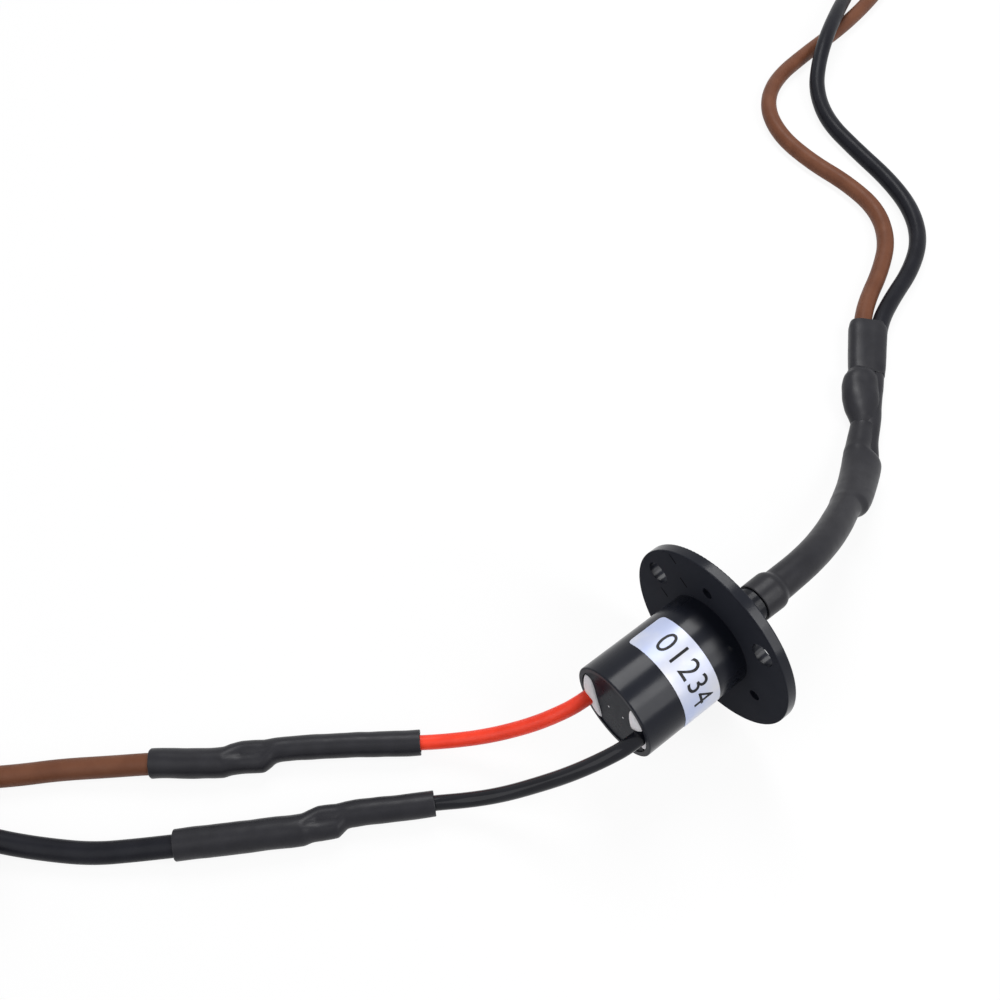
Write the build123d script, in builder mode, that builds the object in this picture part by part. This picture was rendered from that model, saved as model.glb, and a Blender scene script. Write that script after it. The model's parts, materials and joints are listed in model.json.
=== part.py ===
from build123d import *
from math import acos, atan2, cos, hypot, pi, radians, sin, sqrt, tan
import os

# Capsule slip ring with two circuits, in millimetres.
# The ring's axis is +X, from the open end of the housing to its flange, and Z is up.
# The origin is on the axis, in the flange face that seats on a panel.

# Housing: a moulded cup with a round flange
body_d = 22.0
body_length = 27.1
wall = 1.2
flange_d = 44.4
flange_t = 2.5
bolt_margin = 4.7
bolt_hole_d = 5.5
bolt_start = 15.0
tap_margin = 7.2
tap_hole_d = 2.6
hole_count = 3
rim_round = 0.3
lip_clearance = 0.5
seat_lip = 2.3

# Foil label wrapped over the housing
label_start = 46.0
label_span = 146.0
label_length = 9.6
label_from_flange = 7.8
label_t = 0.08
label_corner = 1.2

# End cover with two flats, each notched for its lead, and its bearing boss
cover_recess = 1.0
cover_t = 2.6
cover_fit = 0.03
flat_angle = -26.0
flat_depth = 2.6
boss_wall = 0.9
boss_shoulder = 1.0
boss_depth = 2.2
seal_proud = 0.5

# Leads where they pass the cover
lead_d = 3.3
lead_clearance = 0.15
red_angle = -31.0
black_angle = 167.0
core_d = 1.8

# Rotor spindle, turned from one bar
stub_wall = 0.7
stub_length = 17.0
drum_wall = 1.5
journal_step = 1.8
thrust_shoulder = 0.5
thrust_step = 0.6
nut_length = 1.6
nut_step = 0.6
nut_slot = 1.4
clip_t = 0.5
clip_depth = 0.4
clip_width = 1.0
clip_gap = 70.0
journal_end = 0.5

# Contact rings and the insulating barriers between them, which share the length between the bearings
ring_wall = 2.0
groove_depth = 0.4
groove_share = 0.72
barrier_share = 0.13
barrier_proud = 0.8
stack_fit = 0.02
pin_share = 0.4
pin_fit = 0.05

# Ball bearings
front_section = 3.0
front_bearing_width = 4.0
front_ball_d = 2.0
rear_section = 2.0
rear_bearing_width = 3.0
rear_ball_d = 1.2
ball_count = 8
race_clearance = 0.04
land_share = 0.55
cage_share = 0.28
cage_margin = 0.35

# Brushes: sprung leaves that straddle the rings, on blocks bonded into the bore
block_depth = 1.6
block_clearance = 0.6
leaf_t = 0.25
leaf_share = 0.85
leaf_margin = 0.3
leaf_tip = 1.4
tag_width = 3.0
brush_gap = 0.05
block_end_gap = 0.8

# Heat-shrink sleeves, tails and the table that they lie on
table_z = -flange_d / 2
tail_d = 4.8
sleeve_wall = 0.5
sleeve_start = 13.4
sleeve_shoulder = 1.4
bundle_d = 7.5
splice_d = 4.2
splice_thin_d = 5.7
splice_thick_d = 6.9
splice_bulge_d = 7.4
splice_bulge_length = 12.0
splice_bulge_at = 0.53
tail_sleeve_length = 17.4
tail_sleeve_thick = 5.9
tail_sleeve_width = 10.7
core_end_d = 2.8
core_end_length = 7.0
core_end_round = 0.7

# Coil of the stator tails, held by a tie
coil_center = (-173.5, 69.3)
coil_outer_radius = 26.2
coil_inner_radius = 21.3
coil_room = 0.1
tie_angle = 85.0
tie_room = 0.2
tie_t = 1.0
tie_width = 3.6

# Share of the shorter run that each cord arc takes up
arc_share = 0.45

# Height of the splices, which rest on their bulges
splice_z = table_z + splice_bulge_d / 2

# Worked-out places along the axis
bore_r = body_d / 2 - wall
open_x = -body_length
cover_x = open_x + cover_recess
cover_inner_x = cover_x + cover_t
front_seat_x = flange_t - seat_lip
front_face_x = front_seat_x - front_bearing_width
drum_x = front_face_x - thrust_step
rear_seat_x = cover_inner_x + boss_depth
rear_face_x = rear_seat_x + rear_bearing_width
nut_end_x = rear_face_x + thrust_step
stack_end_x = nut_end_x + nut_length
stack_length = drum_x - stack_end_x
barrier_width = barrier_share * stack_length
ring_width = (stack_length - 3 * barrier_width) / 2
stub_end_x = flange_t + stub_length
red_ring_x = drum_x - barrier_width - ring_width / 2
black_ring_x = red_ring_x - barrier_width - ring_width

# Worked-out sizes, from the bore inwards, and the flange's hole circles
block_flat = bore_r - block_depth
barrier_d = 2 * (block_flat - block_clearance)
ring_d = barrier_d - 2 * barrier_proud
nut_d = ring_d - 2 * nut_step
contact_r = ring_d / 2 - groove_depth
drum_d = ring_d - 2 * ring_wall
journal_d = drum_d - 2 * journal_step
spindle_bore = drum_d - 2 * drum_wall
stub_d = spindle_bore + 2 * stub_wall
front_bearing_d = stub_d + 2 * front_section
rear_bearing_d = journal_d + 2 * rear_section
pin_d = pin_share * ring_width
groove_width = groove_share * ring_width
leaf_width = leaf_share * groove_width
bolt_pcd = flange_d - 2 * bolt_margin
tap_pcd = flange_d - 2 * tap_margin
block_r = bore_r - cover_fit
leaf_half_span = sqrt(block_r**2 - block_flat**2) - leaf_margin
lead_radius = bore_r - lead_clearance - lead_d / 2
flat_distance = bore_r - flat_depth
block_front_x = drum_x - block_end_gap
block_rear_x = nut_end_x
red_exit = (lead_radius * cos(radians(red_angle)), lead_radius * sin(radians(red_angle)))
black_exit = (lead_radius * cos(radians(black_angle)), lead_radius * sin(radians(black_angle)))

# Routes of the cords, chosen by hand, from the housing outwards
red_lead_route = [
    (cover_inner_x, *red_exit),
    (-29.5, *red_exit),
    (-34.9, 8.5, -6.2),
    (-40.2, 11.6, -10.4),
    (-46.7, 16.2, -14.8),
    (-52.7, 20.9, -17.6),
    (-58.8, 25.4, splice_z),
]
black_lead_route = [
    (cover_inner_x, *black_exit),
    (-29.5, *black_exit),
    (-35.0, -6.3, -0.3),
    (-41.0, -3.4, -5.0),
    (-46.6, 0.3, -10.2),
    (-52.6, 4.3, -14.7),
    (-58.2, 8.4, -17.5),
    (-63.7, 12.4, splice_z),
]
red_splice_ends = [(-58.8, 25.4, splice_z), (-107.7, 57.9, splice_z)]
black_splice_ends = [(-63.7, 12.4, splice_z), (-112.6, 39.2, splice_z)]
stator_brown_route = [
    (-107.7, 57.9, splice_z),
    (-114.8, 63.0, -19.3),
    (-123.6, 69.3, -19.8),
    (-132.0, 74.2, -19.8),
    (-140.8, 80.0, -19.4),
    (-149.9, 85.4, -18.8),
]
stator_black_route = [
    (-112.6, 39.2, splice_z),
    (-119.2, 43.6, -19.4),
    (-126.6, 48.6, -19.8),
    (-133.6, 55.2, -19.8),
    (-139.8, 61.7, -19.4),
    (-145.3, 68.4, -18.8),
]
bundle_route = [
    (stub_end_x + sleeve_shoulder / 2, 0.0, 0.0),
    (31.0, 0.6, -1.2),
    (40.3, 2.6, -4.6),
    (49.6, 5.7, -8.8),
    (58.9, 9.4, -12.9),
    (68.2, 13.9, -16.4),
    (78.3, 20.6, -18.4),
]
rotor_brown_splice_route = [
    (77.1, 22.4, -18.4),
    (83.0, 27.2, -18.6),
    (88.8, 33.3, -18.9),
    (94.6, 37.9, -19.2),
]
rotor_black_splice_route = [
    (79.5, 18.8, -18.4),
    (86.2, 23.2, -18.6),
    (92.4, 28.6, -18.9),
    (97.8, 34.1, -19.2),
]
tail_sleeve_start = (96.2, 36.0, -19.2)
tail_sleeve_heading = (0.765, 0.644)
rotor_brown_route = [
    (107.9, 49.1, -19.2),
    (115.8, 53.2, -19.6),
    (127.5, 58.4, -19.8),
    (138.3, 65.4, -19.8),
    (145.4, 76.0, -19.8),
    (146.6, 89.0, -19.8),
    (145.0, 102.0, -19.8),
    (146.0, 116.5, -19.8),
    (152.6, 129.0, -19.8),
    (164.6, 136.6, -19.8),
    (183.0, 139.6, -19.8),
    (202.5, 141.8, -19.8),
    (220.2, 145.9, -19.8),
    (236.5, 151.5, -19.8),
    (251.5, 160.3, -19.8),
    (264.8, 171.2, -19.8),
]
rotor_black_route = [
    (111.1, 45.3, -19.2),
    (121.0, 49.0, -19.6),
    (134.6, 53.2, -19.8),
    (145.8, 59.7, -19.8),
    (153.4, 69.6, -19.8),
    (157.6, 82.0, -19.8),
    (159.7, 97.0, -19.8),
    (162.6, 112.0, -19.8),
    (170.2, 124.2, -19.3),
    (178.4, 131.4, -16.8),
    (187.0, 137.0, -14.2),
    (200.0, 144.0, -14.2),
    (212.6, 150.6, -17.0),
    (226.2, 158.8, -19.4),
    (240.0, 168.8, -19.8),
    (252.3, 180.4, -19.8),
    (262.6, 193.4, -19.8),
]

os.makedirs("parts", exist_ok=True)


def save(piece, label):
    piece.part.label = label
    export_step(piece.part, f"parts/{label}.step")


def cord_radii(points):
    radii = []
    for before, corner, after in zip(points, points[1:], points[2:]):
        run_in = Vector(*corner) - Vector(*before)
        run_out = Vector(*after) - Vector(*corner)
        half_turn = radians(run_in.get_angle(run_out)) / 2
        radii.append(arc_share * min(run_in.length, run_out.length) / tan(half_turn))
    return radii


# A cord is a round tube along straight runs joined by tangent arcs
def make_cord(label, points, diameter):
    radii = cord_radii(points)
    with BuildPart() as cord:
        with BuildLine() as route:
            FilletPolyline(*points, radius=radii)
        with BuildSketch(Plane(origin=points[0], z_dir=route.wire() % 0)):
            Circle(diameter / 2)
        sweep(path=route.wire())
    share = cord.part.volume / (pi * diameter**2 / 4 * route.wire().length)
    tight = min(radii) / diameter
    print(f"{label}: {route.wire().length:.1f} mm, volume share {share:.4f}, tightest {tight:.1f} d")
    print("  radii", [round(radius, 1) for radius in radii])
    save(cord, label)


# A plain turned ring between two places on the axis
def make_ring(label, start_x, end_x, inner_r, outer_r):
    with BuildPart() as ring:
        with BuildSketch(Plane.XY):
            with Locations(((start_x + end_x) / 2, (inner_r + outer_r) / 2)):
                Rectangle(abs(end_x - start_x), outer_r - inner_r)
        revolve(axis=Axis.X)
    save(ring, label)


# Housing with its flange holes
with BuildPart() as housing:
    with BuildSketch(Plane.XY):
        with BuildLine():
            Polyline(
                (open_x, bore_r),
                (open_x, body_d / 2),
                (0, body_d / 2),
                (0, flange_d / 2),
                (flange_t, flange_d / 2),
                (flange_t, stub_d / 2 + lip_clearance),
                (front_seat_x, stub_d / 2 + lip_clearance),
                (front_seat_x, front_bearing_d / 2 + cover_fit),
                (front_face_x, front_bearing_d / 2 + cover_fit),
                (front_face_x, bore_r),
                close=True,
            )
        make_face()
    revolve(axis=Axis.X)
    with BuildSketch(Plane.YZ):
        with PolarLocations(bolt_pcd / 2, hole_count, start_angle=bolt_start):
            Circle(bolt_hole_d / 2)
        with PolarLocations(tap_pcd / 2, hole_count, start_angle=bolt_start + 180 / hole_count):
            Circle(tap_hole_d / 2)
    extrude(amount=flange_t, mode=Mode.SUBTRACT)
    circles = housing.edges().filter_by(GeomType.CIRCLE)
    flange_rims = circles.group_by(SortBy.RADIUS)[-1]
    open_rim = circles.group_by(Axis.X)[0].sort_by(SortBy.RADIUS)[-1]
    fillet([*flange_rims, open_rim], rim_round)
save(housing, "stator_housing")

# Label
label_turn = radians(label_start)
with BuildPart() as label_foil:
    with BuildSketch(Plane((0, 0, 0), x_dir=(1, 0, 0), z_dir=(0, -sin(label_turn), cos(label_turn)))):
        with Locations((-label_from_flange - label_length / 2, body_d / 2 + label_t / 2)):
            Rectangle(label_length, label_t)
    revolve(axis=Axis.X, revolution_arc=label_span)
    corners = label_foil.edges().filter_by(GeomType.LINE).group_by(SortBy.LENGTH)[0]
    fillet(corners, label_corner)
save(label_foil, "label")

# End cover
rear_boss_r = rear_bearing_d / 2 + cover_fit + boss_wall
with BuildPart() as cover:
    with BuildSketch(Plane.YZ.offset(cover_x)):
        Circle(bore_r - cover_fit)
        Rectangle(2 * flat_distance, body_d, rotation=flat_angle, mode=Mode.INTERSECT)
        with Locations(red_exit, black_exit):
            Circle(lead_d / 2 + lead_clearance, mode=Mode.SUBTRACT)
    extrude(amount=cover_t)
    with BuildSketch(Plane.XY):
        with BuildLine():
            Polyline(
                (cover_inner_x, rear_bearing_d / 2 - boss_shoulder),
                (cover_inner_x, rear_boss_r),
                (rear_face_x, rear_boss_r),
                (rear_face_x, rear_bearing_d / 2 + cover_fit),
                (rear_seat_x, rear_bearing_d / 2 + cover_fit),
                (rear_seat_x, rear_bearing_d / 2 - boss_shoulder),
                close=True,
            )
        make_face()
    revolve(axis=Axis.X)
save(cover, "end_cover")


# Sealant that fills the gap between a flat of the cover and the housing, round its lead
def make_seal(label, side_angle, exit_point):
    segment_depth = bore_r - flat_distance
    with BuildPart() as seal:
        with BuildSketch(Plane.YZ.offset(cover_inner_x)):
            Circle(bore_r - cover_fit)
            turn = radians(side_angle)
            middle = flat_distance + cover_fit + segment_depth / 2
            with Locations(Location((middle * cos(turn), middle * sin(turn), 0), (0, 0, side_angle))):
                Rectangle(segment_depth, body_d, mode=Mode.INTERSECT)
            with Locations(exit_point):
                Circle(lead_d / 2, mode=Mode.SUBTRACT)
        extrude(amount=-(cover_t + seal_proud))
    save(seal, label)


make_seal("lead_seal_red", flat_angle, red_exit)
make_seal("lead_seal_black", flat_angle + 180, black_exit)


# A ball bearing: two grooved rings, a set of balls and the cage that spaces them
def make_bearing(prefix, start_x, end_x, inner_r, outer_r, ball_d):
    middle_x = (start_x + end_x) / 2
    width = abs(end_x - start_x)
    pitch_r = (inner_r + outer_r) / 2
    groove_r = ball_d / 2 + race_clearance
    land_gap = land_share * ball_d / 2
    with BuildPart() as inner_ring:
        with BuildSketch(Plane.XY):
            with Locations((middle_x, (inner_r + pitch_r - land_gap) / 2)):
                Rectangle(width, pitch_r - land_gap - inner_r)
            with Locations((middle_x, pitch_r)):
                Circle(groove_r, mode=Mode.SUBTRACT)
        revolve(axis=Axis.X)
    save(inner_ring, f"{prefix}_bearing_inner_ring")
    with BuildPart() as outer_ring:
        with BuildSketch(Plane.XY):
            with Locations((middle_x, (outer_r + pitch_r + land_gap) / 2)):
                Rectangle(width, outer_r - pitch_r - land_gap)
            with Locations((middle_x, pitch_r)):
                Circle(groove_r, mode=Mode.SUBTRACT)
        revolve(axis=Axis.X)
    save(outer_ring, f"{prefix}_bearing_outer_ring")
    ball_plane = Plane.YZ.offset(middle_x)
    with BuildPart(ball_plane) as balls:
        with PolarLocations(pitch_r, ball_count):
            Sphere(ball_d / 2)
    save(balls, f"{prefix}_bearing_balls")
    with BuildPart() as cage:
        cage_thick = cage_share * ball_d
        with BuildSketch(ball_plane.offset(-ball_d / 2 - cage_margin)):
            Circle(pitch_r + cage_thick / 2)
            Circle(pitch_r - cage_thick / 2, mode=Mode.SUBTRACT)
        extrude(amount=ball_d + 2 * cage_margin)
        for index in range(ball_count):
            turn = 2 * pi * index / ball_count
            with BuildSketch(Plane((middle_x, 0, 0), x_dir=(1, 0, 0), z_dir=(0, cos(turn), sin(turn)))):
                Circle(groove_r)
            extrude(amount=outer_r, mode=Mode.SUBTRACT)
    save(cage, f"{prefix}_bearing_cage")


make_bearing("front", front_face_x, front_seat_x, stub_d / 2, front_bearing_d / 2, front_ball_d)
make_bearing("rear", rear_seat_x, rear_face_x, journal_d / 2, rear_bearing_d / 2, rear_ball_d)

# Spindle: hollow from the stub to the last contact ring, solid at the rear journal
clip_x = rear_seat_x
spindle_end_x = clip_x - clip_t - journal_end
bore_end_x = black_ring_x - pin_d
clip_groove_r = journal_d / 2 - clip_depth
with BuildPart() as spindle:
    with BuildSketch(Plane.XY):
        with BuildLine():
            Polyline(
                (stub_end_x, spindle_bore / 2),
                (stub_end_x, stub_d / 2),
                (front_face_x, stub_d / 2),
                (front_face_x, stub_d / 2 + thrust_shoulder),
                (drum_x, stub_d / 2 + thrust_shoulder),
                (drum_x, drum_d / 2),
                (nut_end_x, drum_d / 2),
                (nut_end_x, journal_d / 2 + thrust_shoulder),
                (rear_face_x, journal_d / 2 + thrust_shoulder),
                (rear_face_x, journal_d / 2),
                (clip_x, journal_d / 2),
                (clip_x, clip_groove_r),
                (clip_x - clip_t, clip_groove_r),
                (clip_x - clip_t, journal_d / 2),
                (spindle_end_x, journal_d / 2),
                (spindle_end_x, 0),
                (bore_end_x, 0),
                (bore_end_x, spindle_bore / 2),
                close=True,
            )
        make_face()
    revolve(axis=Axis.X)
    for ring_x, side in ((red_ring_x, 1), (black_ring_x, -1)):
        with BuildSketch(Plane((ring_x, 0, 0), x_dir=(1, 0, 0), z_dir=(0, 0, side))):
            Circle(pin_d / 2 + pin_fit)
        extrude(amount=drum_d, mode=Mode.SUBTRACT)
save(spindle, "rotor_spindle")

# Insulating barriers, contact rings and the nut that clamps them against the front barrier
rotor_lead_d = spindle_bore / 2 - pin_fit
rotor_lead_offset = spindle_bore / 4
barrier_starts = [drum_x - index * (barrier_width + ring_width) for index in range(3)]
for barrier_name, start_x in zip(("front", "middle", "rear"), barrier_starts):
    end_x = start_x - barrier_width
    make_ring(f"barrier_{barrier_name}", start_x, end_x, drum_d / 2 + stack_fit, barrier_d / 2)


def make_contact_ring(label, middle_x, side):
    with BuildPart() as ring:
        with BuildSketch(Plane.XY):
            with BuildLine():
                half = ring_width / 2
                groove = groove_width / 2
                slope = groove_depth / 2
                Polyline(
                    (middle_x - half, drum_d / 2 + stack_fit),
                    (middle_x - half, ring_d / 2),
                    (middle_x - groove - slope, ring_d / 2),
                    (middle_x - groove, contact_r),
                    (middle_x + groove, contact_r),
                    (middle_x + groove + slope, ring_d / 2),
                    (middle_x + half, ring_d / 2),
                    (middle_x + half, drum_d / 2 + stack_fit),
                    close=True,
                )
            make_face()
        revolve(axis=Axis.X)
        pin_start = rotor_lead_offset + rotor_lead_d / 2 + pin_fit
        with BuildSketch(Plane((middle_x, 0, side * pin_start), x_dir=(1, 0, 0), z_dir=(0, 0, side))):
            Circle(pin_d / 2)
        extrude(amount=(drum_d / 2 + contact_r) / 2 - pin_start)
    save(ring, label)


make_contact_ring("contact_ring_red", red_ring_x, 1)
make_contact_ring("contact_ring_black", black_ring_x, -1)

with BuildPart() as nut:
    with BuildSketch(Plane.YZ.offset(nut_end_x)):
        Circle(nut_d / 2)
        Circle(drum_d / 2 + stack_fit, mode=Mode.SUBTRACT)
        Rectangle(nut_slot, 2 * nut_d, mode=Mode.SUBTRACT)
    extrude(amount=nut_length / 2)
    with BuildSketch(Plane.YZ.offset(nut_end_x + nut_length / 2)):
        Circle(nut_d / 2)
        Circle(drum_d / 2 + stack_fit, mode=Mode.SUBTRACT)
    extrude(amount=nut_length / 2)
save(nut, "clamp_nut")

with BuildPart() as clip:
    with BuildSketch(Plane.YZ.offset(clip_x - clip_t)):
        Circle(clip_groove_r + stack_fit + clip_width)
        Circle(clip_groove_r + stack_fit, mode=Mode.SUBTRACT)
        mouth = 2 * journal_d * tan(radians(clip_gap / 2))
        with BuildLine():
            Polyline((0, 0), (2 * journal_d, mouth), (2 * journal_d, -mouth), close=True)
        make_face(mode=Mode.SUBTRACT)
    extrude(amount=clip_t - stack_fit)
save(clip, "retaining_ring")


# Leads inside the spindle, from each contact ring to the end of the stub
def make_rotor_lead(label, ring_x, side):
    with BuildPart() as lead:
        with BuildSketch(Plane.YZ.offset(ring_x - pin_d)):
            with Locations((0, side * rotor_lead_offset)):
                Circle(rotor_lead_d / 2)
        extrude(amount=stub_end_x - ring_x + pin_d)
    save(lead, label)


make_rotor_lead("rotor_lead_red", red_ring_x, 1)
make_rotor_lead("rotor_lead_black", black_ring_x, -1)


# Brush block: a segment of the bore, with a flat that carries the brush
def make_brush(name, side_angle, ring_x, exit_point):
    turn = radians(side_angle)
    across = Plane((0, 0, 0), x_dir=(0, -sin(turn), cos(turn)), z_dir=(-1, 0, 0))
    with BuildPart() as block:
        with BuildSketch(across.offset(-block_front_x)):
            Circle(block_r)
            with Locations((0, block_flat + block_depth / 2)):
                Rectangle(body_d, block_depth, mode=Mode.INTERSECT)
        extrude(amount=block_front_x - block_rear_x)
    save(block, f"brush_block_{name}")
    # The leaf leaves the flat at a corner and runs down tangent to the ring
    ride_r = contact_r + brush_gap
    corner = (leaf_half_span, block_flat - leaf_t)
    touch_angle = atan2(corner[0], corner[1]) + acos(ride_r / hypot(*corner))
    touch = (ride_r * sin(touch_angle), ride_r * cos(touch_angle))
    along = (cos(touch_angle), -sin(touch_angle))
    tip = (touch[0] + leaf_tip * along[0], touch[1] + leaf_tip * along[1])
    outward = (sin(touch_angle) * leaf_t, cos(touch_angle) * leaf_t)
    with BuildPart() as brush:
        with BuildSketch(across.offset(-ring_x - leaf_width / 2)):
            with Locations((0, block_flat - leaf_t / 2)):
                Rectangle(2 * leaf_half_span, leaf_t)
            for side in (-1, 1):
                with BuildLine():
                    Polyline(
                        (side * corner[0], corner[1]),
                        (side * tip[0], tip[1]),
                        (side * (tip[0] + outward[0]), tip[1] + outward[1]),
                        (side * (corner[0] + outward[0]), corner[1] + outward[1]),
                        (side * corner[0], corner[1] + leaf_t),
                        close=True,
                    )
                make_face()
        extrude(amount=leaf_width)
        with BuildSketch(across.offset(-ring_x)):
            with Locations((0, block_flat - leaf_t / 2)):
                Rectangle(tag_width, leaf_t)
        extrude(amount=ring_x - block_rear_x)
    save(brush, f"brush_{name}")
    # The stripped core of the lead ends on the block and the brush's tag
    with BuildPart() as core:
        with BuildSketch(Plane.YZ.offset(cover_inner_x)):
            with Locations(exit_point):
                Circle(core_d / 2)
        extrude(amount=block_rear_x - cover_inner_x)
    save(core, f"lead_core_{name}")


make_brush("red", flat_angle, red_ring_x, red_exit)
make_brush("black", flat_angle + 180, black_ring_x, black_exit)

# Leads outside the housing
make_cord("stator_lead_red", red_lead_route, lead_d)
make_cord("stator_lead_black", black_lead_route, lead_d)


# Heat-shrunk splice: thin over the lead, thick over the tail, with a bulge at the joint
def make_splice(label, ends):
    start = Vector(*ends[0])
    run = Vector(*ends[1]) - start
    length = run.length
    bulge = splice_bulge_at * length
    half = splice_bulge_length / 2
    with BuildPart() as splice:
        with BuildSketch(Plane(origin=start, x_dir=run, z_dir=(0, 0, 1))):
            with BuildLine():
                Line((0, 0), (0, splice_thin_d / 2))
                Line((0, splice_thin_d / 2), (bulge - half, splice_thin_d / 2))
                Spline(
                    (bulge - half, splice_thin_d / 2),
                    (bulge, splice_bulge_d / 2),
                    tangents=[(1, 0), (1, 0)],
                )
                Spline(
                    (bulge, splice_bulge_d / 2),
                    (bulge + half, splice_thick_d / 2),
                    tangents=[(1, 0), (1, 0)],
                )
                Line((bulge + half, splice_thick_d / 2), (length, splice_thick_d / 2))
                Line((length, splice_thick_d / 2), (length, 0))
                Line((length, 0), (0, 0))
            make_face()
        revolve(axis=Axis(start, run))
    save(splice, label)


make_splice("splice_sleeve_red", red_splice_ends)
make_splice("splice_sleeve_black", black_splice_ends)
make_cord("stator_tail_brown", stator_brown_route, tail_d)
make_cord("stator_tail_black", stator_black_route, tail_d)

# Coil of both stator tails and the tie round it
coil_bottom = table_z + tie_t + tie_room
coil_height = 2 * tail_d + coil_room
coil_out_r = coil_outer_radius + tail_d / 2 + coil_room
coil_in_r = coil_inner_radius - tail_d / 2 - coil_room
with BuildPart() as coil:
    with BuildSketch(Plane.XY.offset(coil_bottom)):
        with Locations(coil_center):
            Circle(coil_out_r)
            Circle(coil_in_r, mode=Mode.SUBTRACT)
    extrude(amount=coil_height)
    fillet(coil.edges(), tail_d / 2)
save(coil, "stator_tail_coil")

tie_turn = radians(tie_angle)
tie_across = (cos(tie_turn), sin(tie_turn), 0)
coil_middle_r = (coil_out_r + coil_in_r) / 2
tie_origin = (
    coil_center[0] + coil_middle_r * tie_across[0],
    coil_center[1] + coil_middle_r * tie_across[1],
    coil_bottom + coil_height / 2,
)
tie_inner_w = coil_out_r - coil_in_r + 2 * tie_room
tie_inner_h = coil_height + 2 * tie_room
with BuildPart() as tie:
    with BuildSketch(Plane(tie_origin, x_dir=tie_across, z_dir=(-tie_across[1], tie_across[0], 0))):
        RectangleRounded(tie_inner_w + 2 * tie_t, tie_inner_h + 2 * tie_t, tail_d / 2 + tie_t)
        RectangleRounded(tie_inner_w, tie_inner_h, tail_d / 2, mode=Mode.SUBTRACT)
    extrude(amount=tie_width / 2, both=True)
save(tie, "coil_tie")

# Rotor sleeve: heat-shrink pulled over the stub and down over the pair of leads
sleeve_r = stub_d / 2 + sleeve_wall
with BuildPart() as rotor_sleeve:
    with BuildSketch(Plane.XY):
        with BuildLine():
            Polyline(
                (sleeve_start, stub_d / 2 + stack_fit),
                (sleeve_start, sleeve_r),
                (stub_end_x, sleeve_r),
                (stub_end_x + sleeve_shoulder, bundle_d / 2),
                (stub_end_x + sleeve_shoulder, 0),
                (stub_end_x, 0),
                (stub_end_x, stub_d / 2 + stack_fit),
                close=True,
            )
        make_face()
    revolve(axis=Axis.X)
    with BuildLine() as bundle:
        FilletPolyline(*bundle_route, radius=cord_radii(bundle_route))
    with BuildSketch(Plane(origin=bundle_route[0], z_dir=bundle.wire() % 0)):
        Circle(bundle_d / 2)
    sweep(path=bundle.wire())
save(rotor_sleeve, "rotor_sleeve")
print("rotor_sleeve radii", [round(radius, 1) for radius in cord_radii(bundle_route)])

make_cord("rotor_splice_brown", rotor_brown_splice_route, splice_d)
make_cord("rotor_splice_black", rotor_black_splice_route, splice_d)

# Flat sleeve that holds the two rotor tails side by side
with BuildPart() as tail_sleeve:
    heading = (*tail_sleeve_heading, 0)
    across_heading = (-tail_sleeve_heading[1], tail_sleeve_heading[0], 0)
    with BuildSketch(Plane(tail_sleeve_start, x_dir=across_heading, z_dir=heading)):
        SlotOverall(tail_sleeve_width, tail_sleeve_thick)
    extrude(amount=tail_sleeve_length)
save(tail_sleeve, "rotor_tail_sleeve")
make_cord("rotor_tail_brown", rotor_brown_route, tail_d)
make_cord("rotor_tail_black", rotor_black_route, tail_d)


# Stripped and tinned end of a tail
def make_core_end(label, route):
    heading = Vector(*route[-1]) - Vector(*route[-2])
    with BuildPart() as core_end:
        with BuildSketch(Plane(origin=route[-1], z_dir=heading)):
            Circle(core_end_d / 2)
        extrude(amount=core_end_length)
        fillet(core_end.faces().sort_by(Axis(route[-1], heading))[-1].edges(), core_end_round)
    save(core_end, label)


make_core_end("rotor_tail_brown_end", rotor_brown_route)
make_core_end("rotor_tail_black_end", rotor_black_route)
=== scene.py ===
import json
import math
import bmesh
import bpy
from mathutils import Matrix, Vector, noise


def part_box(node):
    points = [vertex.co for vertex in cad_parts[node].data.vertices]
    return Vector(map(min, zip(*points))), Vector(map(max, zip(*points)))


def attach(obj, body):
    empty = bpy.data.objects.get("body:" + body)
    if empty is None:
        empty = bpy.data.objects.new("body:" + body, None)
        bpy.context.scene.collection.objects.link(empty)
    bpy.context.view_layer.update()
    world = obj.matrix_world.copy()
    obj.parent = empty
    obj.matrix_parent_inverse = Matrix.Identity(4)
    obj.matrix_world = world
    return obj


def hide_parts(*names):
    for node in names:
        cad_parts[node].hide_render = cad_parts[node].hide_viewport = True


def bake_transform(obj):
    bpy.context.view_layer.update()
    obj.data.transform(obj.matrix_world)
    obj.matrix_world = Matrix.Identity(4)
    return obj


# Looks of a capsule slip ring with heat-shrunk leads, built around its solid parts
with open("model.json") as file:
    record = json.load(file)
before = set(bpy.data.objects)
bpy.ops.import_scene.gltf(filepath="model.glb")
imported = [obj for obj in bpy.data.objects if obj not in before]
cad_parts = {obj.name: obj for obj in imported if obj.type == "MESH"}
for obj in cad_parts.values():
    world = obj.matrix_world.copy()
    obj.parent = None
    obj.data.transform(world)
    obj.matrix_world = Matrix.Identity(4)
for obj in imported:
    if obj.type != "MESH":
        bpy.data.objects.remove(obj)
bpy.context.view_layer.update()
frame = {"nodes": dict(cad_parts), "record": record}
nodes = frame["nodes"]
mm = 0.001
housingLow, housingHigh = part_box("stator_housing")
tableZ = housingLow.z  # the flange's rim stands on the table
scene = bpy.context.scene
print("frame loaded:", len(nodes), "nodes")

# Corners within a weld are one, in metres, and edges past the crease stay crisp, in degrees
meshing = {"weld": 1e-7, "crease": 42}


def linkPiece(name, data):
    piece = bpy.data.objects.new(name, data)
    scene.collection.objects.link(piece)
    return piece


def wearFinish(mesh, material):
    mesh.materials.clear()
    mesh.materials.append(material)


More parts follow.
